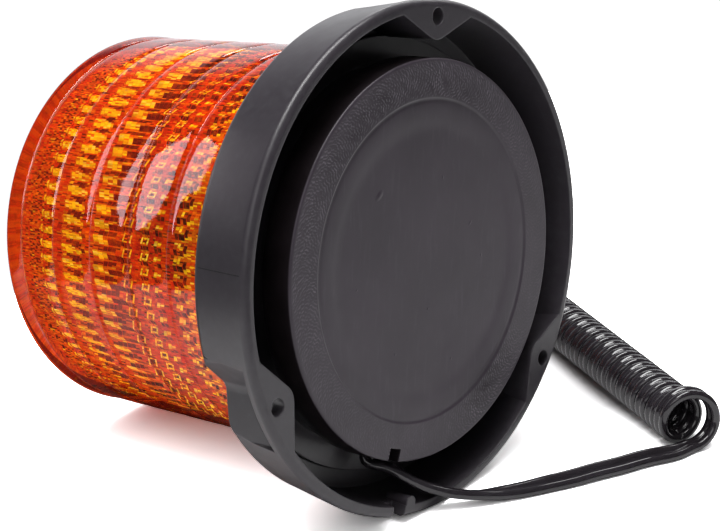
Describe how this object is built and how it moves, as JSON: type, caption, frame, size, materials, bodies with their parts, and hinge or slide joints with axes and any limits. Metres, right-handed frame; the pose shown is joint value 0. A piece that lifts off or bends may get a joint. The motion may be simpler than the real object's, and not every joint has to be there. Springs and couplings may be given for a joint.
{
  "type": "amber led warning beacon",
  "caption": "Amber LED warning beacon: ribbed drum lens on a black skirted base with magnet pad, screw lugs and a coiled cord to an accessory-socket plug.",
  "frame": {"origin": "centre of the screw-hole circle, in the plane of the skirt's rim", "axes": "+Z along the lens axis, out of the base towards the lens; -Y through the lug opposite the cord notch; the cord leaves at +Y"},
  "size_m": [0.2372, 0.15, 0.1773],
  "materials": {
    "black_plastic": "fine matt moulded",
    "pad_rubber": "swirl-marked matt",
    "zinc_steel": "zinc plated",
    "ferrite": "dull sintered",
    "amber_lens": "clear moulded amber",
    "seal_rubber": "matt",
    "green_board": "solder mask",
    "white_board": "white solder mask",
    "led_body": "moulded",
    "led_gel": "silicone gel",
    "heat_sink": "milled",
    "reflector": "bright",
    "capacitor": "sleeved can",
    "ferrite_core": "dull",
    "copper": "enamelled",
    "chip_black": "moulded",
    "resistor": "glazed",
    "terminal_green": "moulded",
    "wire_red": "smooth",
    "wire_black": "smooth",
    "grommet_rubber": "matt",
    "cord_pvc": "glossy",
    "plug_black": "fine textured",
    "brass_tip": "nickel flash",
    "spring_steel": "drawn wire",
    "clear_glass": "clear",
    "nickel_cap": "plated",
    "red_lens": "clear red",
    "switch_body": "moulded",
    "rocker": "moulded"
  },
  "bodies": {
    "base": {"base_housing": "black_plastic", "magnet_cover": "pad_rubber", "magnet_cup": "zinc_steel", "magnet_ring": "ferrite", "magnet_pole": "zinc_steel", "magnet_bolt": "zinc_steel", "bolt_washer": "zinc_steel", "bolt_nut": "zinc_steel", "lens_seal": "seal_rubber", "driver_board": "green_board", "board_screws": "zinc_steel", "tower_core": "heat_sink", "tower_screws": "zinc_steel", "led_strip_boards": "white_board", "led_packages": "led_body", "led_domes": "led_gel", "strip_screws": "zinc_steel", "top_led_board": "white_board", "tower_reflector": "reflector", "capacitors": "capacitor", "inductor_core": "ferrite_core", "inductor_winding": "copper", "controller_chip": "chip_black", "regulator_chip": "chip_black", "rectifier_diodes": "chip_black", "chip_resistors": "resistor", "terminal_block": "terminal_green", "terminal_screws": "zinc_steel", "harness_red": "wire_red", "harness_black": "wire_black", "cable_grommet": "grommet_rubber", "coil_cord": "cord_pvc", "lead_cable": "cord_pvc", "cable_clamp": "zinc_steel", "cable_clamp_screws": "zinc_steel"},
    "lens": {"lens": "amber_lens"},
    "plug": {"tail_lead": "cord_pvc", "plug_shell_left": "plug_black", "plug_shell_right": "plug_black", "plug_screws": "zinc_steel", "plug_tip_spring": "spring_steel", "plug_spring_seat": "brass_tip", "plug_contact_springs": "spring_steel", "plug_board": "green_board", "plug_switch_body": "switch_body", "plug_indicator": "red_lens", "plug_strain_relief": "grommet_rubber", "plug_wire_red": "wire_red", "plug_wire_black": "wire_black"},
    "plug_tip": {"plug_tip_contact": "brass_tip", "plug_fuse_glass": "clear_glass", "plug_fuse_caps": "nickel_cap", "plug_fuse_element": "copper"},
    "plug_nose": {"plug_nose_cap": "plug_black"},
    "plug_left_contact": {"plug_side_contact_left": "brass_tip"},
    "plug_right_contact": {"plug_side_contact_right": "brass_tip"},
    "plug_rocker": {"plug_switch_rocker": "rocker"}
  },
  "joints": [
    {"name": "lens_twist", "type": "hinge", "parent": "base", "child": "lens", "pos_m": [0, 0, 0.0212], "axis": [0, 0, 1], "range_deg": [0, 25]},
    {"name": "cord_stretch", "type": "slide", "parent": "base", "child": "plug", "axis": [0.4222, -0.2081, 0.8823], "range_m": [0, 0.4], "stiffness_N_per_m": 3, "deforming": ["coil_cord"]},
    {"name": "plug_tip_travel", "type": "slide", "parent": "plug", "child": "plug_tip", "axis": [0.4222, -0.2081, 0.8823], "range_m": [0, 0.003], "stiffness_N_per_m": 900, "springref_m": -0.001, "deforming": ["plug_tip_spring"]},
    {"name": "plug_nose_turn", "type": "hinge", "parent": "plug", "child": "plug_nose", "pos_m": [0.10073, 0.0357, 0.05023], "axis": [-0.4222, 0.2081, -0.8823], "range_deg": [0, 360]},
    {"name": "plug_left_contact_travel", "type": "slide", "parent": "plug", "child": "plug_left_contact", "axis": [0.8819, -0.1311, -0.4529], "range_m": [0, 0.0012], "stiffness_N_per_m": 1500, "springref_m": -0.0005},
    {"name": "plug_right_contact_travel", "type": "slide", "parent": "plug", "child": "plug_right_contact", "axis": [-0.8819, 0.1311, 0.4529], "range_m": [0, 0.0012], "stiffness_N_per_m": 1500, "springref_m": -0.0005},
    {"name": "plug_switch_rock", "type": "hinge", "parent": "plug", "child": "plug_rocker", "pos_m": [0.12324, 0.01666, 0.09958], "axis": [0.8819, -0.1311, -0.4529], "range_deg": [0, 11]}
  ]
}
